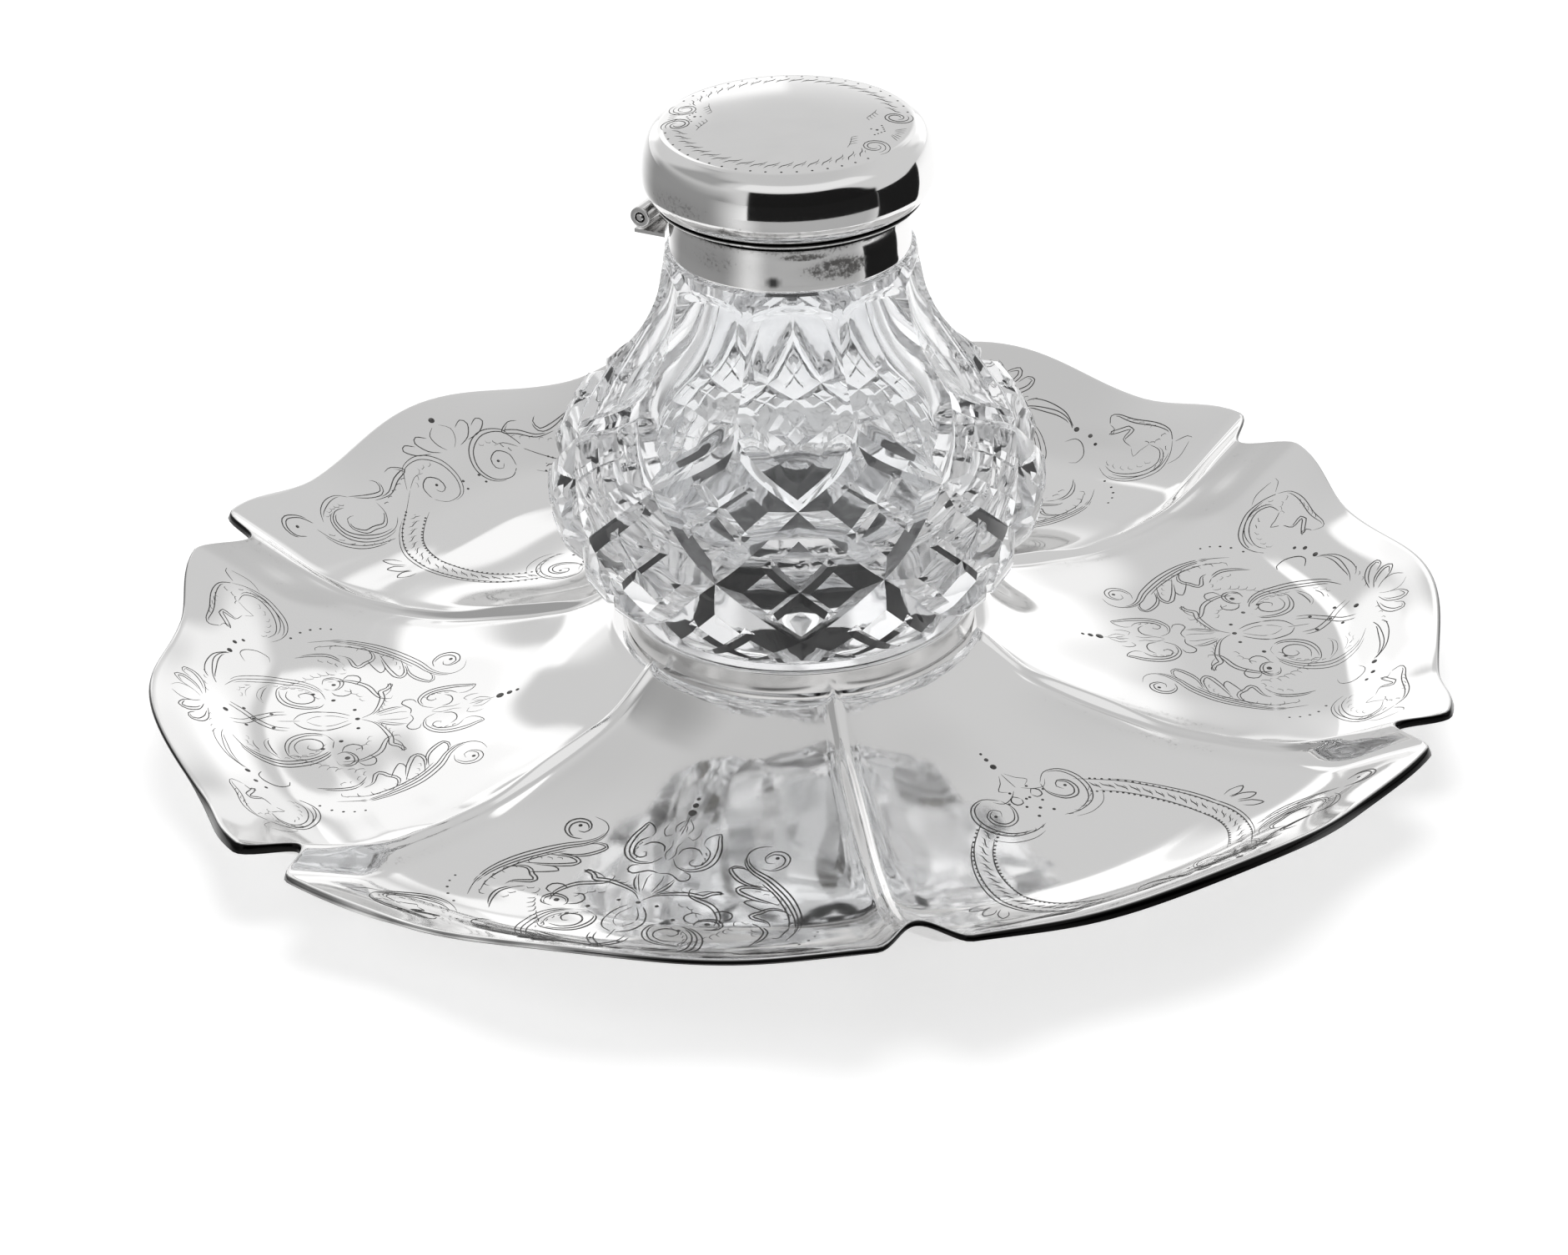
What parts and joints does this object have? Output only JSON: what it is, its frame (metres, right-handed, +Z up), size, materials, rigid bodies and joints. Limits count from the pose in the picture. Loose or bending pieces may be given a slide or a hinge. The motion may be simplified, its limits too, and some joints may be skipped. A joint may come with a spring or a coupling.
{
  "type": "desk inkstand",
  "caption": "Lobed silver dish carrying a diamond-cut glass ink well in a low ring, closed by a hinged domed lid.",
  "frame": {"origin": "centre of the foot ring on the table, on the axis of the dish and of the glass well", "axes": "+X to the right as the picture shows it, +Y away from the picture's camera, +Z up, 0 on the table"},
  "size_m": [0.2428, 0.2462, 0.1196],
  "materials": {
    "polished_silver": "polished silver, fine wear marks",
    "worn_silver": "worn silver, darkened in the corners",
    "cut_glass": "clear lead glass, polished cuts",
    "pad_baize": "black baize",
    "neck_plaster": "set plaster of Paris"
  },
  "bodies": {
    "stand": {"dish": "polished_silver", "foot_ring": "polished_silver", "seat_ring": "polished_silver", "seat_pad": "pad_baize"},
    "well": {"glass_well": "cut_glass", "neck_cement": "neck_plaster", "collar_band": "polished_silver", "collar_bezel": "polished_silver", "hinge_plate": "worn_silver", "collar_knuckle_front": "worn_silver", "collar_knuckle_back": "worn_silver", "hinge_pin": "worn_silver"},
    "lid": {"lid_knuckle": "worn_silver", "lid_shell": "polished_silver", "lid_bezel": "polished_silver"}
  },
  "joints": [
    {"name": "well_lift", "type": "slide", "parent": "stand", "child": "well", "axis": [0, 0, 1], "range_m": [0, 0.12]},
    {"name": "lid_hinge", "type": "hinge", "parent": "well", "child": "lid", "pos_m": [-0.02207, 0.01174, 0.1], "axis": [-0.4695, -0.8829, 0], "range_deg": [0, 105]}
  ]
}
